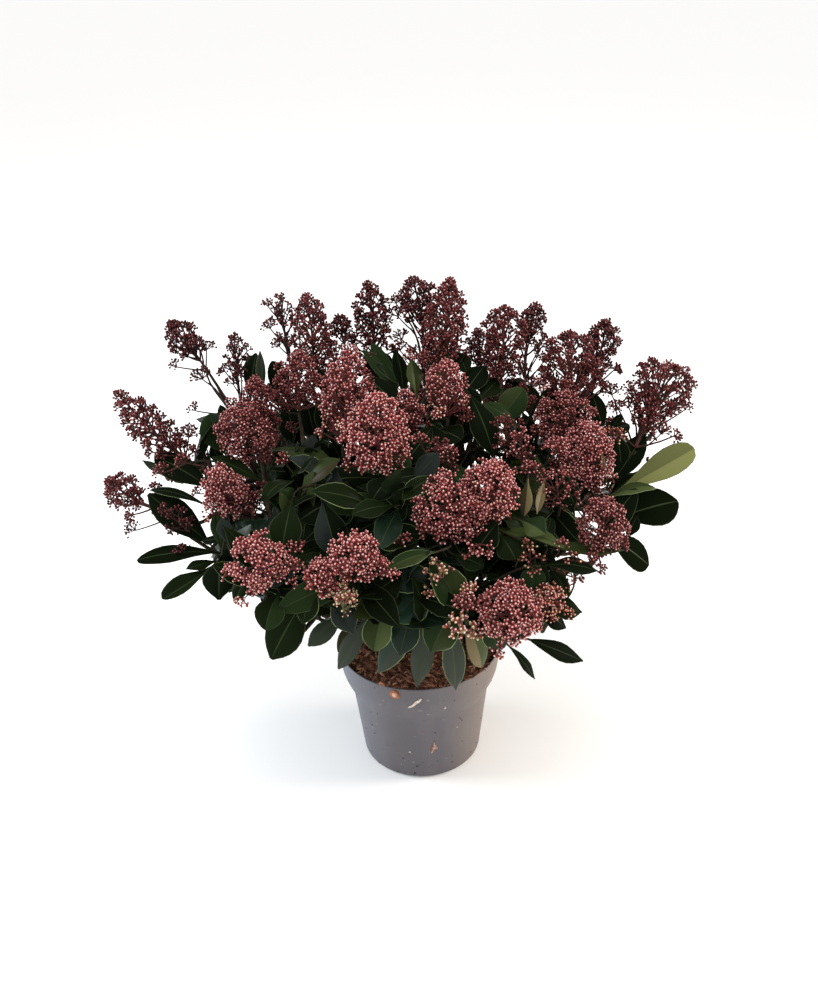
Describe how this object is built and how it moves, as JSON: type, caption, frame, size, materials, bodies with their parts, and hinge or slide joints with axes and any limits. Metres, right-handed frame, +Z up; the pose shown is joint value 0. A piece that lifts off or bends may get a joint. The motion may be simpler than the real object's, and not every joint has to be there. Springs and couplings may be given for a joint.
{
  "type": "potted skimmia shrub",
  "caption": "Potted skimmia: dark evergreen leaf whorls with upright cones of small red flower buds, on short branching stems in a round grey plastic pot.",
  "frame": {"origin": "centre of the pot's flat underside", "axes": "+Z up along the pot's axis, -Y towards the fuller front of the shrub, +X to the right seen from the front"},
  "size_m": [0.6353, 0.5589, 0.5711],
  "materials": {
    "pot": "matt moulded, dusty, with soil specks",
    "soil": "loose bark and peat",
    "bark": "rough grey-brown bark, greener on the young shoots",
    "leaf": "leathery, half glossy, dark green with paler midrib and margin",
    "bud": "smooth dark red buds with pale pink tips"
  },
  "bodies": {
    "root": {"bough_back_left": "bark", "bough_back_right": "bark", "bough_front": "bark", "bough_front_left": "bark", "bough_front_right": "bark", "bough_left": "bark", "bough_right": "bark", "flower_head_01": "bud", "flower_head_02": "bud", "flower_head_03": "bud", "flower_head_04": "bud", "flower_head_05": "bud", "flower_head_06": "bud", "flower_head_07": "bud", "flower_head_08": "bud", "flower_head_09": "bud", "flower_head_10": "bud", "flower_head_11": "bud", "flower_head_12": "bud", "flower_head_13": "bud", "flower_head_14": "bud", "flower_head_15": "bud", "flower_head_16": "bud", "flower_head_17": "bud", "flower_head_18": "bud", "flower_head_19": "bud", "flower_head_20": "bud", "flower_head_21": "bud", "flower_head_22": "bud", "flower_head_23": "bud", "flower_head_24": "bud", "flower_head_25": "bud", "flower_head_26": "bud", "flower_head_27": "bud", "flower_head_28": "bud", "flower_head_29": "bud", "flower_head_30": "bud", "flower_head_31": "bud", "flower_head_32": "bud", "flower_head_33": "bud", "leader_left": "bark", "leader_right": "bark", "leaves_high_back_left": "leaf", "leaves_high_back_right": "leaf", "leaves_high_front": "leaf", "leaves_high_left": "leaf", "leaves_high_right": "leaf", "leaves_low_back": "leaf", "leaves_low_back_left": "leaf", "leaves_low_back_right": "leaf", "leaves_low_front": "leaf", "leaves_low_front_left": "leaf", "leaves_low_front_right": "leaf", "leaves_low_left": "leaf", "leaves_low_right": "leaf", "leaves_top": "leaf", "pot": "pot", "soil": "soil", "stem_foot": "bark"}
  },
  "joints": []
}
